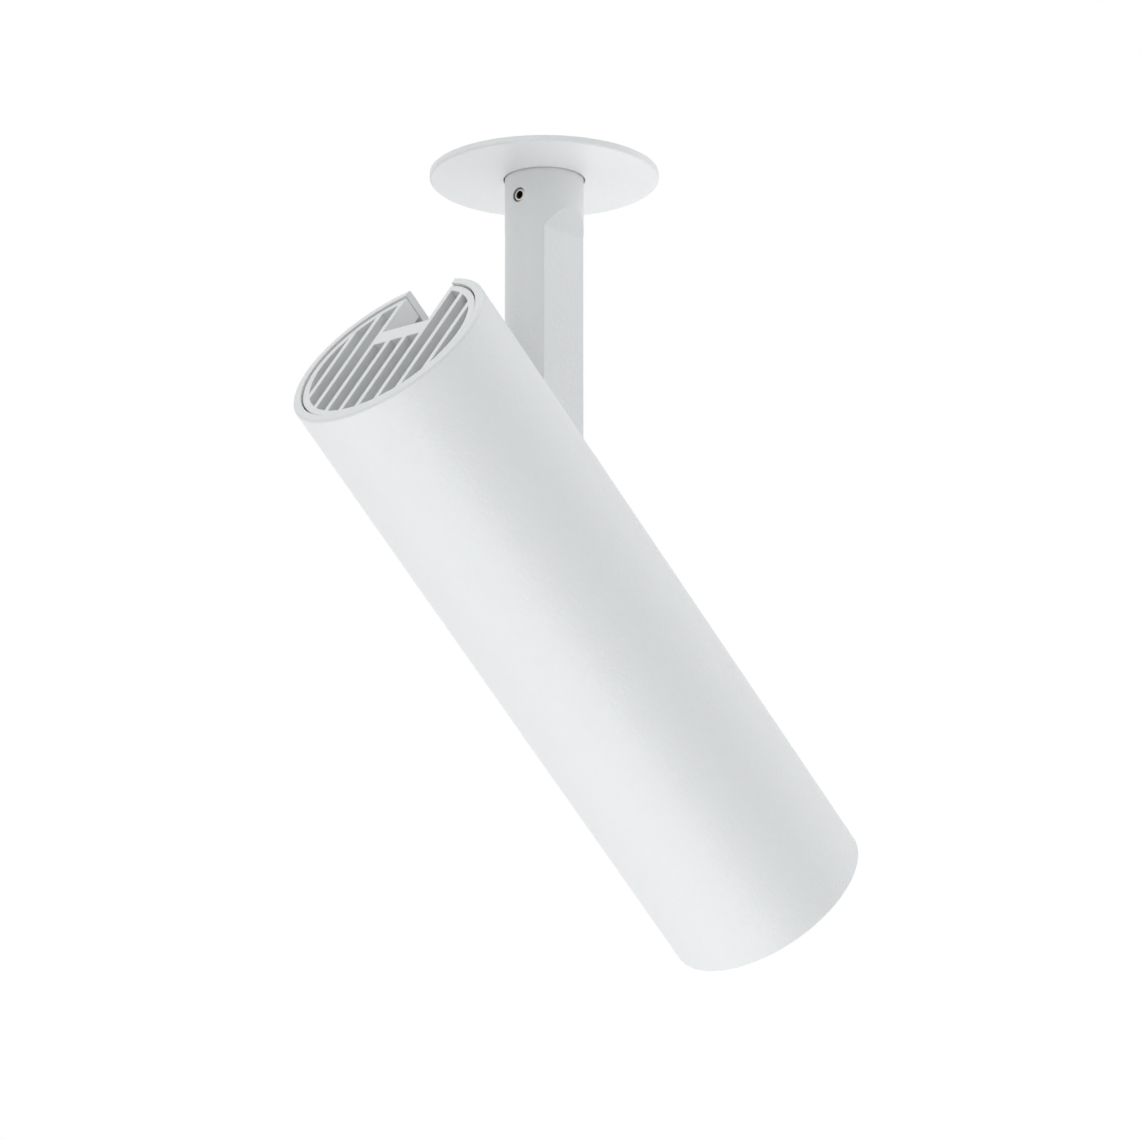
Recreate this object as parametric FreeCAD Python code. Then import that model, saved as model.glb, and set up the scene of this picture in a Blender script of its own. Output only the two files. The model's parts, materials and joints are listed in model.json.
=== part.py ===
# Ceiling spotlight on a swivel stem. Each piece is a solid of its own, in millimetres.
#
# Row frame: +Z up, origin on the ceiling plane, at the middle of the disc's back.
# The lamp swings in the XZ plane and shines towards +X and -Z.
# Lamp frame: X runs along the lamp from its rear end to its mouth, Z points out of the slot.

import FreeCAD
import Part
import math
import os

from FreeCAD import Placement, Rotation, Vector

# Ceiling disc and swivel hub
disc_diameter = 64.0
disc_thickness = 1.8
disc_edge_chamfer = 0.4
disc_hole_gap = 0.4
hub_flange_diameter = 36.0
hub_flange_thickness = 2.5
hub_seat_depth = 0.5
hub_seat_gap = 0.1
spigot_diameter = 14.0
spigot_length = 16.0
nipple_thread_diameter = 9.0
nipple_thread_length = 8.5
cable_bore_diameter = 6.4
magnet_circle_diameter = 28.0
magnet_count = 3
magnet_diameter = 5.0
magnet_thickness = 1.5
magnet_gap = 0.05

# Stem
stem_diameter = 22.0
stem_flat_thickness = 14.4
stem_edge_chamfer = 0.4
stem_nose_margin = 0.4
flats_below_ceiling = 18.6
flats_runout_height = 6.3
pivot_below_ceiling = 87.3
stem_cable_diameter = 7.0
cable_window_width = 6.0
cable_window_bottom = 13.0
cable_window_height = 14.0
pan_washer_thickness = 0.5
pan_washer_margin = 0.5
running_clearance = 0.05

# Grub screw that clamps the stem, and the hub groove that its point runs in
grub_below_ceiling = 8.8
grub_diameter = 4.0
grub_recess = 0.6
grub_chamfer = 0.4
grub_hex = 2.0
grub_hex_depth = 2.0
grub_point_diameter = 2.5
grub_countersink = 0.25
groove_depth = 1.5
groove_play = 0.25
groove_stop_half_angle = 6.5
thread_clearance = 0.05

# Tilt joint
tilt_angle = 52.0
pivot_depth = 63.0
pivot_inset = 7.4
swing_clearance = 0.6
slot_end_clearance = 0.8
tilt_pin_diameter = 4.0
tilt_pin_inset = 0.3
pin_fit = 0.02
bush_wall = 1.0
bush_length = 6.5
washer_diameter = 9.0
washer_thickness = 0.4
spring_strip = 0.3

# Lamp tube and rear grille
lamp_diameter = 60.0
lamp_length = 202.8
tube_wall = 2.5
tube_edge_chamfer = 0.5
slot_width = 16.4
tube_slot_margin = 0.2
shoulder_thickness = 3.0
shoulder_height = 2.5
grille_recess = 0.5
grille_depth = 6.5
grille_gap = 0.5
grille_rim = 2.0
bar_thickness = 1.6
web_thickness = 5.6
peg_diameter = 2.4
peg_length = 5.0
peg_spacing = 10.0
peg_fit = 0.05

# Heat sink
core_gap = 0.2
fin_thickness = 1.6
plate_thickness = 10.0
cheek_thickness = 3.6
cheek_reach = 16.0
wire_hole_diameter = 6.0
wire_hole_offset = 14.0

# Light source
pad_side = 20.0
pad_thickness = 0.4
board_side = 19.0
board_thickness = 1.4
chip_diameter = 14.5
chip_thickness = 0.5
holder_height = 4.6
holder_window_diameter = 16.5
holder_cone_diameter = 21.0
holder_pocket_gap = 0.2
holder_screw_inset = 4.2

# Screws of the light source and the optic carrier
screw_diameter = 3.0
screw_head_diameter = 5.5
screw_head_height = 1.6
screw_reach = 7.0
screw_hole_gap = 0.2
carrier_screw_count = 3

# Optics and mouth
carrier_length = 52.0
carrier_wall = 1.5
carrier_flange_thickness = 2.0
carrier_flange_width = 6.4
carrier_flange_gap = 0.4
carrier_gap = 0.2
glass_thickness = 3.0
glass_gap = 0.2
glass_ledge = 0.9
reflector_wall = 0.8
reflector_throat_margin = 0.4
reflector_rim_width = 1.2
reflector_bands = 4
reflector_facets = 24
gasket_thickness = 0.5
baffle_recess = 0.6
baffle_length = 28.7
baffle_gap = 0.15
baffle_lip = 1.0
baffle_rear_wall = 3.2
baffle_steps = 3

# Sizes that follow from the driving ones
stem_radius = stem_diameter / 2
nose_radius = stem_radius + stem_nose_margin
flat_half = stem_flat_thickness / 2
slot_half = slot_width / 2
tube_inner = lamp_diameter / 2 - tube_wall
core_radius = tube_inner - core_gap
hub_floor = -hub_seat_depth
stem_top = hub_floor - pan_washer_thickness - 2 * running_clearance
spigot_bottom = hub_floor - spigot_length
pivot = Vector(0, 0, -pivot_below_ceiling)
pivot_offset = lamp_diameter / 2 - pivot_inset
pivot_in_lamp = Vector(pivot_depth, 0, pivot_offset)
channel_floor = pivot_offset - nose_radius - swing_clearance
channel_end = pivot_depth + nose_radius + slot_end_clearance - math.sqrt(slot_half ** 2 - flat_half ** 2)
web_bottom = channel_floor - web_thickness
bar_pitch = (slot_width + bar_thickness) / 3
grille_bottom = grille_recess + grille_depth
pin_radius = tilt_pin_diameter / 2
baffle_front = lamp_length - baffle_recess
baffle_back = baffle_front - baffle_length
baffle_outer = tube_inner - baffle_gap
carrier_front = baffle_back - gasket_thickness
carrier_outer = tube_inner - carrier_gap
carrier_inner = carrier_outer - carrier_wall
carrier_flange_inner = carrier_inner - carrier_flange_width
holder_radius = carrier_flange_inner - carrier_flange_gap
glass_back = carrier_front - glass_thickness
glass_seat_radius = carrier_inner + glass_ledge
shoulder_front = carrier_front - carrier_length
shoulder_depth = shoulder_front - shoulder_thickness
plate_start = shoulder_depth - plate_thickness
board_front = shoulder_depth + pad_thickness + board_thickness
holder_front = shoulder_depth + holder_height
HALF_TURN = 180.0
FULL_TURN = 360.0
OVERCUT = 1.0

AXIS_X = Vector(1, 0, 0)
AXIS_Y = Vector(0, 1, 0)
AXIS_Z = Vector(0, 0, 1)
ORIGIN = Vector(0, 0, 0)


# Shape helpers


def box(x_span, y_span, z_span):
    low = Vector(x_span[0], y_span[0], z_span[0])
    high = Vector(x_span[1], y_span[1], z_span[1])
    size = high - low
    return Part.makeBox(size.x, size.y, size.z, low)


def rod(radius, start, end):
    return Part.makeCylinder(radius, (end - start).Length, start, end - start)


def rod_x(radius, x_span, y=0.0, z=0.0):
    return rod(radius, Vector(x_span[0], y, z), Vector(x_span[1], y, z))


def rod_z(radius, z_span, x=0.0, y=0.0):
    return rod(radius, Vector(x, y, z_span[0]), Vector(x, y, z_span[1]))


def ring_x(outer, inner, x_span):
    cutter = rod_x(inner, (x_span[0] - OVERCUT, x_span[1] + OVERCUT))
    return rod_x(outer, x_span).cut(cutter)


def face_of(items, to_space):
    """The face inside an outline of corners. A pair of corners is an arc through the first to the second."""
    here = to_space(*items[0])
    edges = []
    for item in items[1:] + items[:1]:
        if isinstance(item[0], tuple):
            through = to_space(*item[0])
            end = to_space(*item[1])
            edges.append(Part.Arc(here, through, end).toShape())
        else:
            end = to_space(*item)
            edges.append(Part.makeLine(here, end))
        here = end
    return Part.Face(Part.Wire(edges))


def turned_z(items):
    """A solid turned about Z, from an outline of (radius, z)."""
    face = face_of(items, lambda radius, z: Vector(radius, 0, z))
    return face.revolve(ORIGIN, AXIS_Z, FULL_TURN)


def turned_x(items):
    """A solid turned about X, from an outline of (x, radius)."""
    face = face_of(items, lambda x, radius: Vector(x, 0, radius))
    return face.revolve(ORIGIN, AXIS_X, FULL_TURN)


def around_x(count, radius, start_angle=0.0):
    """Places spread evenly on a circle about X, as (y, z)."""
    for index in range(count):
        angle = math.radians(start_angle + index * FULL_TURN / count)
        yield radius * math.sin(angle), radius * math.cos(angle)


def around_z(count, radius, start_angle=0.0):
    """Places spread evenly on a circle about Z, as (x, y)."""
    for index in range(count):
        angle = math.radians(start_angle + index * FULL_TURN / count)
        yield radius * math.cos(angle), radius * math.sin(angle)


def fused(shapes):
    return shapes[0].fuse(shapes[1:]).removeSplitter()


def in_lamp(shape):
    """Carries a shape from the lamp frame to the row frame, about the tilt pivot."""
    turn = Rotation(AXIS_Y, HALF_TURN / 2 - tilt_angle)
    placed = shape.copy()
    placed.Placement = Placement(pivot - turn.multVec(pivot_in_lamp), turn)
    return placed


# Ceiling disc and hub


def ceiling_disc():
    radius = disc_diameter / 2
    hole = stem_radius + disc_hole_gap
    seat = hub_flange_diameter / 2 + hub_seat_gap
    bottom = -disc_thickness
    edge = disc_edge_chamfer
    return turned_z([
        (hole, bottom),
        (radius - edge, bottom),
        (radius, bottom + edge),
        (radius, 0.0),
        (seat, 0.0),
        (seat, hub_floor),
        (hole, hub_floor),
    ])


def swivel_hub():
    """Turned hub: a flange that carries the disc, a spigot for the stem, and a thread for the ceiling."""
    bore = cable_bore_diameter / 2
    thread = nipple_thread_diameter / 2
    spigot = spigot_diameter / 2
    flange = hub_flange_diameter / 2
    top = hub_floor + hub_flange_thickness
    body = turned_z([
        (bore, spigot_bottom),
        (spigot, spigot_bottom),
        (spigot, hub_floor),
        (flange, hub_floor),
        (flange, top),
        (thread, top),
        (thread, top - nipple_thread_length),
        (bore, top - nipple_thread_length),
    ])
    pocket = (hub_floor - OVERCUT, hub_floor + magnet_thickness)
    pockets = [rod_z(magnet_diameter / 2 + magnet_gap, pocket, x, y) for x, y in magnet_places()]
    return body.cut(pockets + [pan_groove()])


def magnet_places():
    return around_z(magnet_count, magnet_circle_diameter / 2)


def pan_groove():
    """Groove round the spigot for the grub screw's point, broken by a land that stops the swivel."""
    spigot = spigot_diameter / 2
    middle = -grub_below_ceiling
    half = grub_point_diameter / 2 + groove_play
    bottom = spigot - groove_depth
    outline = [
        (bottom, middle - half),
        (spigot + OVERCUT, middle - half),
        (spigot + OVERCUT, middle + half),
        (bottom, middle + half),
    ]
    face = face_of(outline, lambda radius, z: Vector(radius, 0, z))
    face.rotate(ORIGIN, AXIS_Z, groove_stop_half_angle)
    return face.revolve(ORIGIN, AXIS_Z, FULL_TURN - 2 * groove_stop_half_angle)


def disc_magnets():
    span = (hub_floor, hub_floor + magnet_thickness - magnet_gap)
    return Part.makeCompound([rod_z(magnet_diameter / 2, span, x, y) for x, y in magnet_places()])


# Stem and the pieces that turn with it


def stem():
    edge = stem_edge_chamfer
    bar = turned_z([
        (0.0, stem_top),
        (stem_radius - edge, stem_top),
        (stem_radius, stem_top - edge),
        (stem_radius, pivot.z - stem_diameter),
        (0.0, pivot.z - stem_diameter),
    ])
    reach = (-stem_diameter, stem_diameter)
    above = box(reach, reach, (pivot.z, stem_top + OVERCUT))
    nose = rod(nose_radius, pivot - AXIS_Y * stem_diameter, pivot + AXIS_Y * stem_diameter)
    body = bar.common(above.fuse(nose))
    socket_bottom = spigot_bottom - OVERCUT
    window_low = pivot.z + cable_window_bottom
    window_high = window_low + cable_window_height
    bores = [
        rod_z(spigot_diameter / 2 + running_clearance, (socket_bottom, stem_top + OVERCUT)),
        rod_z(stem_cable_diameter / 2, (window_low + cable_window_width / 2, socket_bottom)),
        cable_window(window_low, window_high),
        rod(bush_radius(), pivot - AXIS_Y * stem_radius, pivot + AXIS_Y * stem_radius),
        grub_hole(),
    ]
    return body.cut([flat_cutter(1), flat_cutter(-1)] + bores)


def bush_radius():
    return pin_radius + running_clearance + bush_wall + pin_fit


def flat_cutter(side):
    """What the mill takes off one side of the stem: a flat that slopes out to the round head."""
    outside = stem_radius + OVERCUT
    start = -flats_below_ceiling
    low = pivot.z - stem_radius - OVERCUT
    slope = flats_runout_height / (stem_radius - flat_half)
    outline = [
        (flat_half, low),
        (flat_half, start),
        (outside, start + slope * (outside - flat_half)),
        (outside, low),
    ]
    face = face_of(outline, lambda y, z: Vector(-outside, side * y, z))
    return face.extrude(AXIS_X * 2 * outside)


def cable_window(low, high):
    """Round-ended opening in the stem's inner side, where the leads cross to the lamp."""
    half = cable_window_width / 2
    reach = Vector(-stem_radius - OVERCUT, 0, 0)
    ends = [Vector(0, 0, low + half), Vector(0, 0, high - half)]
    middle = box((reach.x, 0.0), (-half, half), (ends[0].z, ends[1].z))
    return fused([middle] + [rod(half, end, end + reach) for end in ends])


def grub_axis(radius):
    """The point on the grub screw's axis at a radius from the stem's axis."""
    return Vector(-radius, 0, -grub_below_ceiling)


def grub_hole():
    radius = grub_diameter / 2 + thread_clearance
    hole = rod(radius, grub_axis(0.0), grub_axis(stem_radius + OVERCUT))
    mouth = radius + grub_countersink
    flare_start = grub_axis(stem_radius - grub_countersink)
    flare = Part.makeCone(radius, mouth + OVERCUT, grub_countersink + OVERCUT, flare_start, -AXIS_X)
    return hole.fuse(flare)


def pan_grub_screw():
    radius = grub_diameter / 2
    outer_end = stem_radius - grub_recess
    chamfer_start = outer_end - grub_chamfer
    shoulder = spigot_diameter / 2 + running_clearance
    point = spigot_diameter / 2 - groove_depth + groove_play
    body = rod(radius, grub_axis(shoulder), grub_axis(chamfer_start))
    rim = Part.makeCone(radius, radius - grub_chamfer, grub_chamfer, grub_axis(chamfer_start), -AXIS_X)
    tip = rod(grub_point_diameter / 2, grub_axis(point), grub_axis(shoulder))
    return fused([body, rim, tip]).cut(hex_socket(outer_end))


def hex_socket(outer_end):
    corner = grub_hex / 2 / math.cos(math.radians(HALF_TURN / 6))
    start = grub_axis(outer_end - grub_hex_depth)
    corners = [start + Vector(0, y, z) for y, z in around_x(6, corner)]
    face = Part.Face(Part.makePolygon(corners + corners[:1]))
    return face.extrude(-AXIS_X * (grub_hex_depth + OVERCUT))


def pan_washer():
    outer = stem_radius - pan_washer_margin
    inner = spigot_diameter / 2 + pan_washer_margin
    low = stem_top + running_clearance
    span = (low, low + pan_washer_thickness)
    return rod_z(outer, span).cut(rod_z(inner, (span[0] - OVERCUT, span[1] + OVERCUT)))


def eye_bushes():
    outer = bush_radius() - pin_fit
    inner = pin_radius + running_clearance
    bushes = []
    for side in (1, -1):
        start = pivot + AXIS_Y * side * (flat_half - bush_length)
        end = pivot + AXIS_Y * side * flat_half
        bushes.append(rod(outer, start, end).cut(rod(inner, start, end)))
    return Part.makeCompound(bushes)


# Lamp tube, grille and heat sink, in the lamp frame


def slot_channel(half_width):
    """The space that the stem swings in: open at the rear, with a round end clear of the stem."""
    height = (channel_floor, lamp_diameter)
    width = (-half_width, half_width)
    return box((-OVERCUT, channel_end), width, height).fuse(rod_z(half_width, height, channel_end))


def lamp_tube():
    outer = lamp_diameter / 2
    rib = tube_inner - shoulder_height
    edge = tube_edge_chamfer
    body = turned_x([
        (0.0, tube_inner),
        (0.0, outer - edge),
        (edge, outer),
        (lamp_length - edge, outer),
        (lamp_length, outer - edge),
        (lamp_length, tube_inner),
        (shoulder_front, tube_inner),
        (shoulder_front, rib),
        (shoulder_depth, rib),
        (shoulder_depth, tube_inner),
    ])
    return body.cut(slot_channel(slot_half + tube_slot_margin))


def bar_places(limit):
    """Centre lines of the bars on both sides of the middle, inside a half width."""
    index = 0
    while (index + 0.5) * bar_pitch < limit:
        place = (index + 0.5) * bar_pitch
        yield -place
        yield place
        index += 1


def pegs(radius, x_span):
    middle = (channel_floor + web_bottom) / 2
    return [rod_x(radius, x_span, side * peg_spacing / 2, middle) for side in (1, -1)]


def rear_grille():
    outer = tube_inner - grille_gap
    span = (grille_recess, grille_bottom)
    rim = ring_x(outer, outer - grille_rim, span)
    middle = outer - grille_rim / 2
    bars = [
        box(span, (y - bar_thickness / 2, y + bar_thickness / 2), (-middle, middle))
        for y in bar_places(outer - grille_rim)
    ]
    inside = rod_x(middle, span)
    cross_bar = box(span, (-slot_half, slot_half), (web_bottom, channel_floor))
    body = fused([rim] + [bar.common(inside) for bar in bars] + [cross_bar])
    body = body.cut(slot_channel(slot_half))
    peg_span = (grille_recess + grille_depth / 2, grille_bottom + peg_length)
    return fused([body] + pegs(peg_diameter / 2, peg_span))


def heat_sink():
    reach = (-core_radius, core_radius)
    fin_span = (grille_bottom, plate_start)
    cheek_start = pivot_depth - cheek_reach
    web = box(fin_span, reach, (web_bottom, channel_floor))
    fins = []
    for y in bar_places(core_radius):
        sides = (y - fin_thickness / 2, y + fin_thickness / 2)
        fins.append(box(fin_span, sides, (-core_radius, web_bottom)))
        fins.append(box((cheek_start, plate_start), sides, (channel_floor, core_radius)))
    cheeks = [
        box((cheek_start, plate_start), sides, (channel_floor, core_radius))
        for sides in ((slot_half, slot_half + cheek_thickness), (-slot_half - cheek_thickness, -slot_half))
    ]
    finned = fused([web] + fins + cheeks).common(rod_x(core_radius, fin_span))
    finned = finned.cut(slot_channel(slot_half))
    body = fused([rod_x(core_radius, (plate_start, shoulder_depth)), finned])
    peg_span = (grille_bottom - OVERCUT, grille_bottom + peg_length + OVERCUT)
    holes = pegs(peg_diameter / 2 + peg_fit, peg_span)
    holes.append(pin_rod(pin_radius + pin_fit, core_radius))
    holes.append(rod_x(wire_hole_diameter / 2, (plate_start - OVERCUT, lamp_length), 0.0, -wire_hole_offset))
    holes.append(rod_z(wire_hole_diameter / 2, (web_bottom - OVERCUT, channel_floor + OVERCUT), pivot_depth))
    holes += screw_holes(holder_screw_places() + carrier_screw_places())
    return body.cut(holes)


# Tilt joint, in the lamp frame


def pin_rod(radius, half_length):
    return rod(radius, pivot_in_lamp - AXIS_Y * half_length, pivot_in_lamp + AXIS_Y * half_length)


def tilt_pin():
    top = pivot_offset + pin_radius
    half_length = math.sqrt(core_radius ** 2 - top ** 2) - tilt_pin_inset
    return pin_rod(pin_radius, half_length)


def on_pin(outline):
    """A pair of rings about the pin, one on each side, from an outline of (distance from middle, radius)."""
    rings = []
    for side in (1, -1):
        face = face_of(outline, lambda y, radius: pivot_in_lamp + Vector(0, side * y, radius))
        rings.append(face.revolve(pivot_in_lamp, AXIS_Y, FULL_TURN))
    return Part.makeCompound(rings)


def washer_back():
    return flat_half + running_clearance + washer_thickness


def friction_washers():
    front = flat_half + running_clearance
    inner = pin_radius + running_clearance
    outer = washer_diameter / 2
    back = washer_back()
    return on_pin([(front, inner), (back, inner), (back, outer), (front, outer)])


def disc_springs():
    """Coned washers between the friction washers and the cheeks."""
    low = washer_back()
    high = slot_half - running_clearance
    inner = pin_radius + running_clearance
    outer = washer_diameter / 2
    return on_pin([(high - spring_strip, inner), (high, inner), (low + spring_strip, outer), (low, outer)])


# Light source, in the lamp frame


def screw(head_back, y, z):
    """A pan head screw whose head rests at head_back and whose end points to the rear."""
    shank = rod_x(screw_diameter / 2, (head_back - screw_reach, head_back), y, z)
    head = rod_x(screw_head_diameter / 2, (head_back, head_back + screw_head_height), y, z)
    return shank.fuse(head).removeSplitter()


def screw_holes(places):
    """Threaded holes in the heat sink's front plate."""
    radius = screw_diameter / 2 + thread_clearance
    span = (shoulder_depth - screw_reach, shoulder_depth + OVERCUT)
    return [rod_x(radius, span, y, z) for y, z in places]


def holder_screw_places():
    return list(around_x(2, holder_radius - holder_screw_inset, HALF_TURN / 2))


def carrier_screw_places():
    return list(around_x(carrier_screw_count, carrier_inner - carrier_flange_width / 2))


def square_x(side, x_span):
    return box(x_span, (-side / 2, side / 2), (-side / 2, side / 2))


def thermal_pad():
    return square_x(pad_side, (shoulder_depth, shoulder_depth + pad_thickness))


def led_board():
    return square_x(board_side, (shoulder_depth + pad_thickness, board_front))


def led_chip():
    return rod_x(chip_diameter / 2, (board_front, board_front + chip_thickness))


def holder_head_seat():
    return holder_front - screw_head_height


def led_holder():
    window = holder_window_diameter / 2
    body = turned_x([
        (shoulder_depth, window),
        (shoulder_depth, holder_radius),
        (holder_front, holder_radius),
        (holder_front, holder_cone_diameter / 2),
        (board_front + chip_thickness, window),
    ])
    pocket_span = (shoulder_depth - OVERCUT, board_front + holder_pocket_gap)
    pocket = square_x(pad_side + 2 * holder_pocket_gap, pocket_span)
    holes = []
    for y, z in holder_screw_places():
        shank = screw_diameter / 2 + screw_hole_gap
        head = screw_head_diameter / 2 + screw_hole_gap
        holes.append(rod_x(shank, (shoulder_depth - OVERCUT, holder_front), y, z))
        holes.append(rod_x(head, (holder_head_seat(), holder_front + OVERCUT), y, z))
    return body.cut([pocket] + holes)


def holder_screws():
    return Part.makeCompound([screw(holder_head_seat(), y, z) for y, z in holder_screw_places()])


# Optics and mouth, in the lamp frame


def carrier_head_seat():
    return shoulder_front + carrier_flange_thickness


def optic_carrier():
    body = turned_x([
        (shoulder_front, carrier_flange_inner),
        (shoulder_front, carrier_outer),
        (carrier_front, carrier_outer),
        (carrier_front, glass_seat_radius),
        (glass_back, glass_seat_radius),
        (glass_back, carrier_inner),
        (carrier_head_seat(), carrier_inner),
        (carrier_head_seat(), carrier_flange_inner),
    ])
    radius = screw_diameter / 2 + screw_hole_gap
    holes = [
        rod_x(radius, (shoulder_front - OVERCUT, carrier_head_seat() + OVERCUT), y, z)
        for y, z in carrier_screw_places()
    ]
    return body.cut(holes)


def carrier_screws():
    return Part.makeCompound([screw(carrier_head_seat(), y, z) for y, z in carrier_screw_places()])


def facet_bowl(rings):
    """A solid of flat facets through regular polygons, one for each ring of (x, corner radius)."""
    loops = []
    for x, radius in rings:
        corners = [Vector(x, y, z) for y, z in around_x(reflector_facets, radius)]
        loops.append(corners + corners[:1])
    outlines = [loops[0], loops[-1]]
    for low, high in zip(loops, loops[1:]):
        for index in range(reflector_facets):
            outlines.append([low[index], low[index + 1], high[index + 1], high[index], low[index]])
    faces = [Part.Face(Part.makePolygon(outline)) for outline in outlines]
    return Part.Solid(Part.Shell(faces))


def reflector():
    """Facetted bowl along a parabola, from the holder's face to the glass, with a turned-out rim."""
    throat = holder_cone_diameter / 2 + reflector_throat_margin
    rim = carrier_inner - carrier_gap
    mouth = rim - reflector_rim_width
    inside = []
    for band in range(reflector_bands + 1):
        share = band / reflector_bands
        x = holder_front + share * (glass_back - holder_front)
        inside.append((x, math.sqrt(throat ** 2 + share * (mouth ** 2 - throat ** 2))))
    outside = [(x, radius + reflector_wall) for x, radius in inside]
    flange = rod_x(rim, (glass_back - reflector_wall, glass_back))
    return facet_bowl(outside).fuse(flange).cut(facet_bowl(inside)).removeSplitter()


def front_glass():
    return rod_x(glass_seat_radius - glass_gap, (glass_back, carrier_front))


def baffle_inner_rear():
    return baffle_outer - baffle_rear_wall


def glass_gasket():
    return ring_x(glass_seat_radius - glass_gap, baffle_inner_rear(), (carrier_front, baffle_back))


def front_baffle():
    """Glare ring whose bore opens in steps towards the mouth."""
    mouth = baffle_outer - baffle_lip
    step_length = (baffle_front - baffle_back) / baffle_steps
    step_height = (mouth - baffle_inner_rear()) / (baffle_steps - 1)
    outline = [(baffle_front, baffle_outer), (baffle_back, baffle_outer)]
    for index in range(baffle_steps):
        radius = baffle_inner_rear() + index * step_height
        outline.append((baffle_back + index * step_length, radius))
        outline.append((baffle_back + (index + 1) * step_length, radius))
    return turned_x(outline)


CEILING_PIECES = (ceiling_disc, swivel_hub, disc_magnets)
STEM_PIECES = (stem, pan_grub_screw, pan_washer, eye_bushes)
LAMP_PIECES = (
    lamp_tube, rear_grille, heat_sink, tilt_pin, friction_washers, disc_springs,
    thermal_pad, led_board, led_chip, led_holder, holder_screws,
    optic_carrier, carrier_screws, reflector, front_glass, glass_gasket, front_baffle,
)


def main():
    os.makedirs("parts", exist_ok=True)
    for make in CEILING_PIECES + STEM_PIECES:
        make().exportStep(f"parts/{make.__name__}.step")
    for make in LAMP_PIECES:
        in_lamp(make()).exportStep(f"parts/{make.__name__}.step")


main()
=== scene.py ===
import json
import math

import bmesh
import bpy
from mathutils import Matrix, Vector


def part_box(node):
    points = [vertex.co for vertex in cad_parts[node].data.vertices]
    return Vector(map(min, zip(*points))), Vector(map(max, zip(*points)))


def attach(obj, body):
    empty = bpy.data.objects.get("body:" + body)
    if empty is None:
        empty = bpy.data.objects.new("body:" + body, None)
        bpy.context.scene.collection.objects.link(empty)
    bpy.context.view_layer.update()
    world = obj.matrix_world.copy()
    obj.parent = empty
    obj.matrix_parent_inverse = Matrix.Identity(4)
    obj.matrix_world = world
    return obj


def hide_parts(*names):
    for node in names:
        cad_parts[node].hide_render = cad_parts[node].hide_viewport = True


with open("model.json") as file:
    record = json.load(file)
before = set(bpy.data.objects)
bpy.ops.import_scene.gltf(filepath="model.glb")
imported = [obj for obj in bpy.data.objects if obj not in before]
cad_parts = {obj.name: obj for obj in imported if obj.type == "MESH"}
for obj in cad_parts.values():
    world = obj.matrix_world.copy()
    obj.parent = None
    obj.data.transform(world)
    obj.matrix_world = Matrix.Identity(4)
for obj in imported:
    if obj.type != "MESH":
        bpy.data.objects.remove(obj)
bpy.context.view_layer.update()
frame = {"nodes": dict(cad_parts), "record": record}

nodes = frame["nodes"]

# Camera of the photo, in the row frame, in metres
CAMERA_PLACE = Vector((-1.02573, -0.89646, -0.48415))
CAMERA_AIM = Vector((0.73003, 0.63126, 0.26185))
CAMERA_LENS_MM = 162.91
CAMERA_SENSOR_MM = 36.0

# Studio light: soft lamps all round, each with the way towards it, its side in metres and its power in watts
AMBIENT = (0.511, 0.533, 0.548)
LAMP_DISTANCE = 1.6
LAMP_TARGET = Vector((0.01, 0.0, -0.11))
LAMPS = {
    "below": (Vector((-0.42, 0.38, -0.82)), 1.5, 5.7),
    "below_small": (Vector((-0.24, -0.26, -0.93)), 0.8, 5.3),
    "low_front": (Vector((0.15, -0.55, -0.72)), 1.5, 0.8),
    "low_back": (Vector((0.7, 0.3, -0.65)), 1.5, 5.5),
    "right": (Vector((0.8, -0.55, 0.25)), 1.5, 6.5),
    "top": (Vector((0.0, 0.0, 1.0)), 1.5, 5.0),
    "top_left": (Vector((-0.8, 0.0, 0.6)), 1.5, 5.1),
}
FLOOR_LEVEL = -1.9
FLOOR_SIZE = 60.0
FLOOR_GLOW = 0.5

# Glare ring, in metres. Each bore has ribs with grooves between them, which take a share of the pitch
BAFFLE_LENGTH = 0.0287
BAFFLE_OUTER_RADIUS = 0.02735
BAFFLE_BORE_RADII = (0.02415, 0.02525, 0.02635)
RIBS_PER_BORE = 3
GROOVE_SHARE = 0.5
GROOVE_DEPTH = 0.0007

# Marks that materials draw, in metres
LATHE_PITCH = 0.0003
THREAD_PITCH = 0.001
THREAD_RADIUS = 0.0047
# Radius of the painted shade in the grub screw's hexagon socket
SOCKET_RADIUS = 0.00125
# Radius of the stem's darkened tapped hole: bare thread and painted shade
TAPPED_RADIUS = 0.00207

# Whites of the paint, on the lamp and stem and on the disc
PAINT_WHITE = (0.862, 0.861, 0.859)
DISC_WHITE = (0.900, 0.899, 0.896)

# Axes, and what to measure across them
X_AXIS = (1.0, 0.0, 0.0)
Z_AXIS = (0.0, 0.0, 1.0)
ACROSS_X = (0.0, 1.0, 1.0)
ACROSS_Z = (1.0, 1.0, 0.0)

# Fineness of turned meshes and of rounded edges
TURNING_STEPS = 96
SHARP_ANGLE = math.radians(30.0)
EDGE_SAMPLES = 6


def middle_of(node):
    """Middle of a CAD node's box."""
    low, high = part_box(node)
    return (low + high) / 2


# Material helpers


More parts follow.
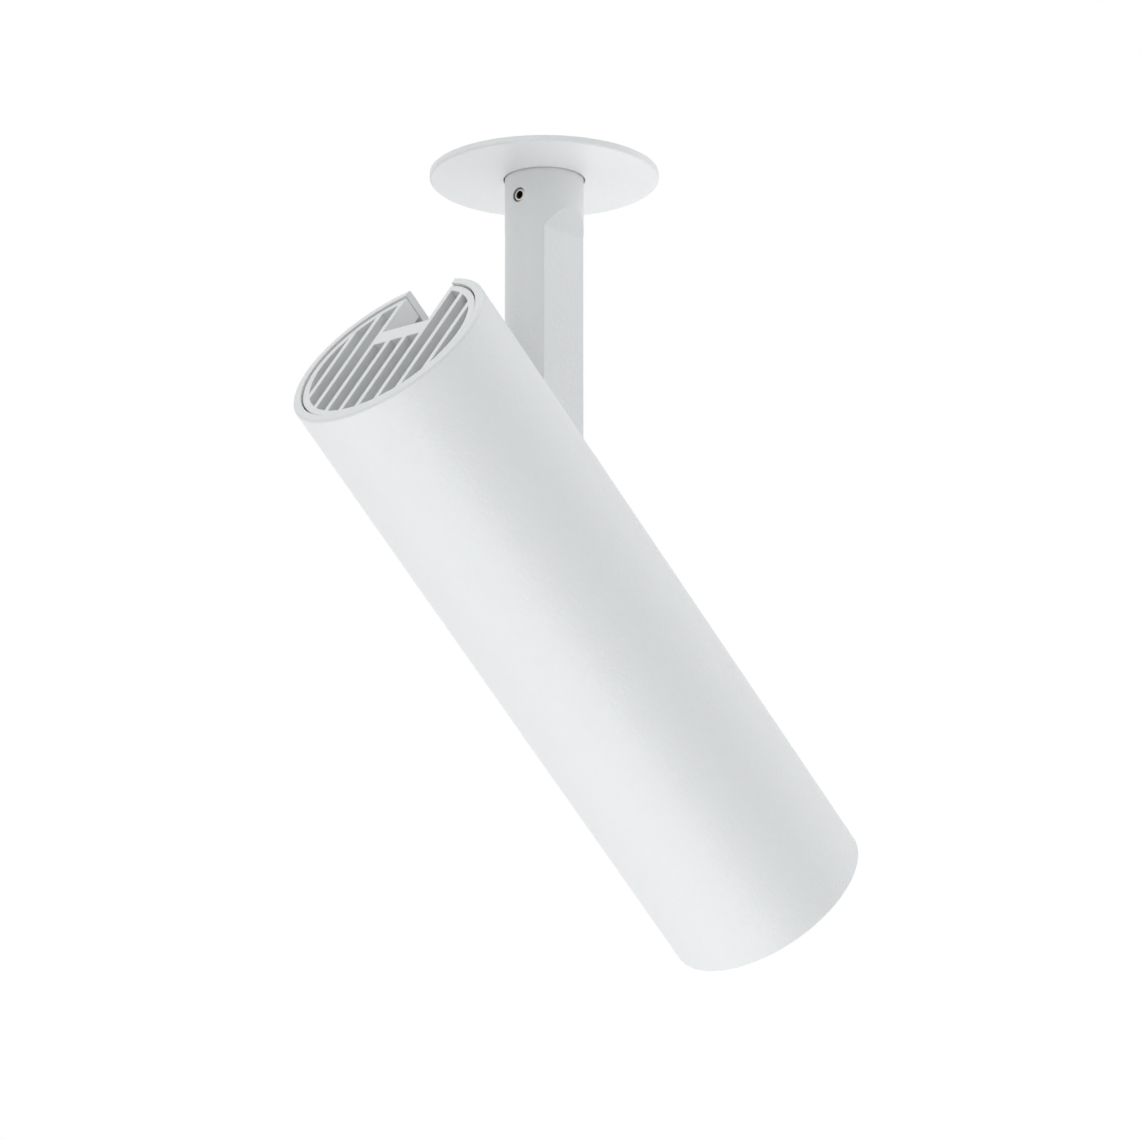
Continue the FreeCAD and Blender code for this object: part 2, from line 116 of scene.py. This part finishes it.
class Paint:
    """A procedural material: a Principled shader with its node tree, built step by step."""

    def __init__(self, name, colour, roughness, metallic=0.0):
        self.material = bpy.data.materials.new(name)
        self.material.use_nodes = True
        self.tree = self.material.node_tree
        self.shader = self.tree.nodes["Principled BSDF"]
        self.shader.inputs["Base Color"].default_value = (*colour, 1.0)
        self.shader.inputs["Roughness"].default_value = roughness
        self.shader.inputs["Metallic"].default_value = metallic
        self.colour = colour
        self.roughness = roughness
        self.place = self.tree.nodes.new("ShaderNodeTexCoord").outputs["Object"]
        self.normal = None

    def set(self, **values):
        """Values of the shader's own inputs, by name."""
        for name, value in values.items():
            self.shader.inputs[name.replace("_", " ")].default_value = value
        return self

    def noise(self, scale, detail):
        """Noise of about one feature per 1/scale metres."""
        noise = self.tree.nodes.new("ShaderNodeTexNoise")
        noise.inputs["Scale"].default_value = scale
        noise.inputs["Detail"].default_value = detail
        self.tree.links.new(self.place, noise.inputs["Vector"])
        return noise.outputs["Fac"]

    def mottled(self, scale, amount, detail=3.0):
        """Colour that drifts a little lighter and darker."""
        mix = self.tree.nodes.new("ShaderNodeMix")
        mix.data_type = "RGBA"
        dark = [channel * (1 - amount) for channel in self.colour]
        light = [min(1.0, channel * (1 + amount)) for channel in self.colour]
        mix.inputs["A"].default_value = (*dark, 1.0)
        mix.inputs["B"].default_value = (*light, 1.0)
        self.tree.links.new(self.noise(scale, detail), mix.inputs["Factor"])
        self.tree.links.new(mix.outputs["Result"], self.shader.inputs["Base Color"])
        return self

    def worn(self, scale, amount, detail=3.0):
        """Roughness that varies over the surface."""
        spread = self.tree.nodes.new("ShaderNodeMapRange")
        spread.inputs["To Min"].default_value = max(0.0, self.roughness - amount)
        spread.inputs["To Max"].default_value = min(1.0, self.roughness + amount)
        self.tree.links.new(self.noise(scale, detail), spread.inputs["Value"])
        self.tree.links.new(spread.outputs["Result"], self.shader.inputs["Roughness"])
        return self

    def rounded(self, radius):
        """Edges that catch the light as if they were rounded."""
        bevel = self.tree.nodes.new("ShaderNodeBevel")
        bevel.samples = EDGE_SAMPLES
        bevel.inputs["Radius"].default_value = radius
        self.normal = bevel.outputs["Normal"]
        self.tree.links.new(self.normal, self.shader.inputs["Normal"])
        return self

    def relief(self, height, strength, depth):
        """Surface relief from a height, which is depth metres where it is 1."""
        bump = self.tree.nodes.new("ShaderNodeBump")
        bump.inputs["Strength"].default_value = strength
        bump.inputs["Distance"].default_value = depth
        self.tree.links.new(height, bump.inputs["Height"])
        if self.normal:
            self.tree.links.new(self.normal, bump.inputs["Normal"])
        self.normal = bump.outputs["Normal"]
        self.tree.links.new(self.normal, self.shader.inputs["Normal"])
        return self

    def bumpy(self, scale, strength, depth, detail=3.0):
        """Surface relief from noise."""
        return self.relief(self.noise(scale, detail), strength, depth)

    def reckon(self, operation, first, second):
        """One step of arithmetic on an output, with a number or another output."""
        step = self.tree.nodes.new("ShaderNodeMath")
        step.operation = operation
        self.tree.links.new(first, step.inputs[0])
        if isinstance(second, float):
            step.inputs[1].default_value = second
        else:
            self.tree.links.new(second, step.inputs[1])
        return step.outputs["Value"]

    def along(self, axis):
        """Distance from the origin along an axis."""
        product = self.tree.nodes.new("ShaderNodeVectorMath")
        product.operation = "DOT_PRODUCT"
        product.inputs[1].default_value = axis
        self.tree.links.new(self.place, product.inputs[0])
        return product.outputs["Value"]

    def off_axis(self, middle, across):
        """Distance from a line through middle. across is 0 for the line's own axis, and 1 for the others."""
        mapping = self.tree.nodes.new("ShaderNodeMapping")
        mapping.inputs["Scale"].default_value = across
        mapping.inputs["Location"].default_value = [-place * share for place, share in zip(middle, across)]
        length = self.tree.nodes.new("ShaderNodeVectorMath")
        length.operation = "LENGTH"
        self.tree.links.new(self.place, mapping.inputs["Vector"])
        self.tree.links.new(mapping.outputs["Vector"], length.inputs[0])
        return length.outputs["Value"]

    def rings(self, distance, pitch):
        """Height of ribs that repeat at a pitch, 0 in the valleys and 1 on the crests."""
        return self.reckon("DIVIDE", self.reckon("PINGPONG", distance, pitch / 2), pitch / 2)

    def painted_shade_and_bare_metal(self, where, colour):
        """Another colour where an output is 1: here painted shade in recesses, and the bare metal of a
        tapped hole.
        """
        mix = self.tree.nodes.new("ShaderNodeMix")
        mix.data_type = "RGBA"
        socket = self.shader.inputs["Base Color"]
        mix.inputs["A"].default_value = socket.default_value
        mix.inputs["B"].default_value = (*colour, 1.0)
        if socket.links:
            self.tree.links.new(socket.links[0].from_socket, mix.inputs["A"])
        self.tree.links.new(where, mix.inputs["Factor"])
        self.tree.links.new(mix.outputs["Result"], socket)
        return self


# Materials


def powder_coat(name="white_paint", colour=PAINT_WHITE):
    """Satin white paint with a fine pebbled grain."""
    paint = Paint(name, colour, roughness=0.40)
    paint.mottled(scale=90.0, amount=0.012)
    paint.worn(scale=260.0, amount=0.04)
    paint.set(Specular_IOR_Level=0.45)
    paint.rounded(radius=0.0004)
    return paint.bumpy(scale=1000.0, strength=0.75, depth=0.0002, detail=2.0)


def disc_coat():
    """The same paint on the stamped disc, a little whiter."""
    return powder_coat("disc_paint", DISC_WHITE)


def stem_coat():
    """The same paint, with the grub screw's hole darkened on the screw's side: partly bare thread, partly
    painted shade in the hole.
    """
    paint = powder_coat("stem_paint")
    # Darkened hole round the grub screw: bare thread, and painted shade where the hole's wall lies in shade
    # beside the screw
    distance = paint.off_axis(middle_of("pan_grub_screw"), ACROSS_X)
    near = paint.reckon("LESS_THAN", distance, TAPPED_RADIUS)
    screw_side = paint.reckon("LESS_THAN", paint.along(X_AXIS), 0.0)
    return paint.painted_shade_and_bare_metal(paint.reckon("MULTIPLY", near, screw_side), colour=(0.30, 0.30, 0.31))


def white_plastic():
    paint = Paint("white_plastic", colour=(0.87, 0.868, 0.862), roughness=0.48)
    paint.mottled(scale=60.0, amount=0.015)
    paint.worn(scale=200.0, amount=0.05)
    paint.rounded(radius=0.00025)
    return paint.bumpy(scale=2600.0, strength=0.08, depth=0.00006, detail=2.0)


def turned_metal():
    """Zinc with the rings of the lathe tool, and a thread in its bore."""
    paint = Paint("zinc", colour=(0.50, 0.51, 0.52), roughness=0.42, metallic=1.0)
    paint.mottled(scale=120.0, amount=0.03)
    paint.worn(scale=700.0, amount=0.08)
    radius = paint.off_axis(middle_of("swivel_hub"), ACROSS_Z)
    paint.relief(paint.rings(radius, LATHE_PITCH), strength=0.15, depth=0.00003)
    bore = paint.reckon("LESS_THAN", radius, THREAD_RADIUS)
    thread = paint.rings(paint.along(Z_AXIS), THREAD_PITCH)
    return paint.relief(paint.reckon("MULTIPLY", thread, bore), strength=0.8, depth=0.0005)


def nickel():
    paint = Paint("nickel", colour=(0.78, 0.77, 0.73), roughness=0.18, metallic=1.0)
    paint.worn(scale=300.0, amount=0.08)
    return paint.bumpy(scale=500.0, strength=0.05, depth=0.00003)


def bright_steel():
    paint = Paint("steel", colour=(0.62, 0.62, 0.63), roughness=0.26, metallic=1.0)
    paint.mottled(scale=400.0, amount=0.05)
    paint.worn(scale=900.0, amount=0.10)
    paint.rounded(radius=0.00015)
    return paint.bumpy(scale=2400.0, strength=0.08, depth=0.00003)


def grub_steel():
    """Plated steel, with painted shade in its hexagon socket."""
    paint = Paint("grub_steel", colour=(0.72, 0.71, 0.69), roughness=0.34, metallic=1.0)
    paint.mottled(scale=900.0, amount=0.08)
    paint.worn(scale=900.0, amount=0.10)
    distance = paint.off_axis(middle_of("pan_grub_screw"), ACROSS_X)
    # Painted shade: the hexagon socket is coloured near black, as the recess would be in shade
    return paint.painted_shade_and_bare_metal(paint.reckon("LESS_THAN", distance, SOCKET_RADIUS), colour=(0.15, 0.13, 0.11))


def bearing_plastic():
    paint = Paint("bearing_plastic", colour=(0.78, 0.76, 0.70), roughness=0.42)
    paint.mottled(scale=150.0, amount=0.03)
    return paint.bumpy(scale=1800.0, strength=0.06, depth=0.00004)


def bronze():
    paint = Paint("bronze", colour=(0.66, 0.46, 0.22), roughness=0.38, metallic=1.0)
    paint.mottled(scale=900.0, amount=0.10)
    return paint.bumpy(scale=5200.0, strength=0.22, depth=0.00005)


def blasted_aluminium():
    """Bead-blasted aluminium: grey, matt and finely pitted."""
    paint = Paint("raw_aluminium", colour=(0.54, 0.545, 0.55), roughness=0.58, metallic=1.0)
    paint.mottled(scale=80.0, amount=0.03)
    paint.worn(scale=500.0, amount=0.06)
    paint.rounded(radius=0.0002)
    return paint.bumpy(scale=2200.0, strength=0.25, depth=0.00006, detail=2.0)


def thermal_silicone():
    paint = Paint("grey_silicone", colour=(0.40, 0.41, 0.43), roughness=0.75)
    paint.mottled(scale=700.0, amount=0.08)
    return paint.bumpy(scale=1500.0, strength=0.20, depth=0.0001)


def board_ceramic():
    paint = Paint("board_ceramic", colour=(0.88, 0.88, 0.85), roughness=0.35)
    paint.mottled(scale=300.0, amount=0.02)
    return paint.bumpy(scale=2500.0, strength=0.06, depth=0.00003)


def phosphor():
    """Yellow phosphor with a faint pattern of the dice under it."""
    paint = Paint("phosphor", colour=(0.90, 0.72, 0.16), roughness=0.28)
    paint.worn(scale=300.0, amount=0.08)
    dice = paint.tree.nodes.new("ShaderNodeTexVoronoi")
    dice.inputs["Scale"].default_value = 700.0
    dice.inputs["Randomness"].default_value = 0.15
    shade = paint.tree.nodes.new("ShaderNodeMix")
    shade.data_type = "RGBA"
    shade.inputs["A"].default_value = (0.95, 0.80, 0.28, 1.0)
    shade.inputs["B"].default_value = (0.84, 0.62, 0.10, 1.0)
    spread = paint.tree.nodes.new("ShaderNodeMapRange")
    spread.inputs["From Max"].default_value = 0.001
    paint.tree.links.new(paint.place, dice.inputs["Vector"])
    paint.tree.links.new(dice.outputs["Distance"], spread.inputs["Value"])
    paint.tree.links.new(spread.outputs["Result"], shade.inputs["Factor"])
    paint.tree.links.new(shade.outputs["Result"], paint.shader.inputs["Base Color"])
    return paint


def holder_plastic():
    paint = Paint("holder_plastic", colour=(0.82, 0.82, 0.79), roughness=0.45)
    paint.mottled(scale=120.0, amount=0.02)
    return paint.bumpy(scale=1800.0, strength=0.08, depth=0.00005)


def black_plastic():
    paint = Paint("black_plastic", colour=(0.025, 0.025, 0.026), roughness=0.48)
    paint.mottled(scale=150.0, amount=0.15)
    return paint.bumpy(scale=1600.0, strength=0.14, depth=0.00008)


def bright_reflector():
    paint = Paint("bright_reflector", colour=(0.88, 0.89, 0.90), roughness=0.09, metallic=1.0)
    paint.worn(scale=120.0, amount=0.04)
    return paint.bumpy(scale=260.0, strength=0.10, depth=0.0004, detail=1.0)


def clear_glass():
    paint = Paint("clear_glass", colour=(0.97, 0.99, 0.98), roughness=0.02)
    paint.worn(scale=60.0, amount=0.015)
    paint.bumpy(scale=40.0, strength=0.02, depth=0.0001)
    return paint.set(Transmission_Weight=1.0, IOR=1.5)


def black_rubber():
    paint = Paint("black_rubber", colour=(0.03, 0.03, 0.03), roughness=0.62)
    paint.mottled(scale=300.0, amount=0.2)
    return paint.bumpy(scale=1400.0, strength=0.18, depth=0.0001)


def black_paint():
    paint = Paint("black_paint", colour=(0.022, 0.022, 0.023), roughness=0.40)
    paint.mottled(scale=120.0, amount=0.15)
    return paint.bumpy(scale=1700.0, strength=0.08, depth=0.00005)


MATERIALS = {
    "white_paint": powder_coat,
    "white_plastic": white_plastic,
    "zinc": turned_metal,
    "nickel": nickel,
    "steel": bright_steel,
    "bearing_plastic": bearing_plastic,
    "bronze": bronze,
    "raw_aluminium": blasted_aluminium,
    "grey_silicone": thermal_silicone,
    "board_ceramic": board_ceramic,
    "phosphor": phosphor,
    "holder_plastic": holder_plastic,
    "black_plastic": black_plastic,
    "bright_reflector": bright_reflector,
    "clear_glass": clear_glass,
    "black_rubber": black_rubber,
    "black_paint": black_paint,
}
OWN_MATERIALS = {"ceiling_disc": disc_coat, "stem": stem_coat, "pan_grub_screw": grub_steel}


def dress_nodes():
    """Gives each CAD node the material of its slot, or its own."""
    made = {slot: make().material for slot, make in MATERIALS.items()}
    own = {node: make().material for node, make in OWN_MATERIALS.items()}
    for entry in frame["record"]["subparts"]:
        mesh = nodes[entry["node"]].data
        mesh.materials.clear()
        mesh.materials.append(own.get(entry["node"], made[entry["material_slot"]]))


# Glare ring


def baffle_outline():
    """Corners of the ring's section: distance from its back along the lamp, and radius."""
    corners = [(BAFFLE_LENGTH, BAFFLE_OUTER_RADIUS), (0.0, BAFFLE_OUTER_RADIUS)]
    bore_length = BAFFLE_LENGTH / len(BAFFLE_BORE_RADII)
    pitch = bore_length / RIBS_PER_BORE
    for index, radius in enumerate(BAFFLE_BORE_RADII):
        for rib in range(RIBS_PER_BORE):
            start = index * bore_length + rib * pitch
            land = start + pitch * GROOVE_SHARE
            corners += [(start, radius + GROOVE_DEPTH), (land, radius + GROOVE_DEPTH)]
            corners += [(land, radius), (start + pitch, radius)]
    return corners


def turned_mesh(name, outline, start, axis):
    """A closed ring with the given section, turned about an axis that is square to the frame's Y axis."""
    across = Vector((0.0, 1.0, 0.0))
    up = axis.cross(across)
    shape = bmesh.new()
    sections = []
    for step in range(TURNING_STEPS):
        angle = math.tau * step / TURNING_STEPS
        out = across * math.cos(angle) + up * math.sin(angle)
        sections.append([shape.verts.new(start + axis * along + out * radius) for along, radius in outline])
    for here, there in zip(sections, sections[1:] + sections[:1]):
        for corner in range(len(outline)):
            shape.faces.new((here[corner - 1], here[corner], there[corner], there[corner - 1]))
    bmesh.ops.recalc_face_normals(shape, faces=shape.faces)
    mesh = bpy.data.meshes.new(name)
    shape.to_mesh(mesh)
    shape.free()
    mesh.shade_smooth()
    mesh.set_sharp_from_angle(angle=SHARP_ANGLE)
    return mesh


def ribbed_baffle():
    """The glare ring with ribs round each bore."""
    axis = (middle_of("front_glass") - middle_of("led_chip")).normalized()
    back = middle_of("front_baffle") - axis * BAFFLE_LENGTH / 2
    mesh = turned_mesh("ribbed_baffle", baffle_outline(), back, axis)
    mesh.materials.append(nodes["front_baffle"].data.materials[0])
    piece = bpy.data.objects.new("ribbed_baffle", mesh)
    bpy.context.scene.collection.objects.link(piece)
    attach(piece, "lamp")
    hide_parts("front_baffle")


# Light and camera


def aimed(place, way):
    """A matrix at place whose -Z axis looks along way, with +Y up."""
    matrix = way.to_track_quat("-Z", "Y").to_matrix().to_4x4()
    return Matrix.Translation(place) @ matrix


def soft_lamp(name, way, size, power):
    """A large square lamp that shines on the object from the given way."""
    data = bpy.data.lights.new(name, "AREA")
    data.size = size
    data.energy = power
    lamp = bpy.data.objects.new(name, data)
    lamp.matrix_world = aimed(LAMP_TARGET + way.normalized() * LAMP_DISTANCE, -way)
    lamp.visible_camera = False
    bpy.context.scene.collection.objects.link(lamp)


def seen_rays(tree):
    """An output that is 1 for what the camera sees itself, in a reflection or through glass."""
    path = tree.nodes.new("ShaderNodeLightPath")
    seen = path.outputs["Is Camera Ray"]
    for name in ("Is Glossy Ray", "Is Transmission Ray"):
        either = tree.nodes.new("ShaderNodeMath")
        either.operation = "MAXIMUM"
        tree.links.new(seen, either.inputs[0])
        tree.links.new(path.outputs[name], either.inputs[1])
        seen = either.outputs["Value"]
    return seen


def pale_floor():
    """A plain floor far below the lamp, as under a ceiling, almost white where nothing shades it."""
    half = FLOOR_SIZE / 2
    corners = [(x * half, y * half, FLOOR_LEVEL) for x, y in ((-1, -1), (1, -1), (1, 1), (-1, 1))]
    mesh = bpy.data.meshes.new("floor")
    mesh.from_pydata(corners, [], [(0, 1, 2, 3)])
    floor = bpy.data.objects.new("floor", mesh)
    bpy.context.scene.collection.objects.link(floor)
    paint = Paint("floor", colour=(0.88, 0.88, 0.88), roughness=0.8)
    paint.mottled(scale=2.0, amount=0.01)
    paint.set(Emission_Color=(1.0, 1.0, 1.0, 1.0))
    glow = paint.reckon("MULTIPLY", seen_rays(paint.tree), FLOOR_GLOW)
    paint.tree.links.new(glow, paint.shader.inputs["Emission Strength"])
    mesh.materials.append(paint.material)


def white_world():
    """White where it is seen, and a plain soft light on everything."""
    world = bpy.data.worlds.new("studio")
    bpy.context.scene.world = world
    world.use_nodes = True
    tree = world.node_tree
    colour = tree.nodes.new("ShaderNodeMix")
    colour.data_type = "RGBA"
    colour.inputs["A"].default_value = (*AMBIENT, 1.0)
    colour.inputs["B"].default_value = (1.0, 1.0, 1.0, 1.0)
    tree.links.new(seen_rays(tree), colour.inputs["Factor"])
    tree.links.new(colour.outputs["Result"], tree.nodes["Background"].inputs["Color"])


def photo_camera():
    """The camera that stands where the photo was taken."""
    data = bpy.data.cameras.new("photo_camera")
    data.lens = CAMERA_LENS_MM
    data.sensor_width = CAMERA_SENSOR_MM
    camera = bpy.data.objects.new("photo_camera", data)
    camera.matrix_world = aimed(CAMERA_PLACE, CAMERA_AIM)
    bpy.context.scene.collection.objects.link(camera)
    bpy.context.scene.camera = camera


dress_nodes()
ribbed_baffle()
white_world()
pale_floor()
for lamp_name, (lamp_way, lamp_size, lamp_power) in LAMPS.items():
    soft_lamp(lamp_name, lamp_way, lamp_size, lamp_power)
photo_camera()
bpy.context.scene.view_settings.view_transform = "Standard"
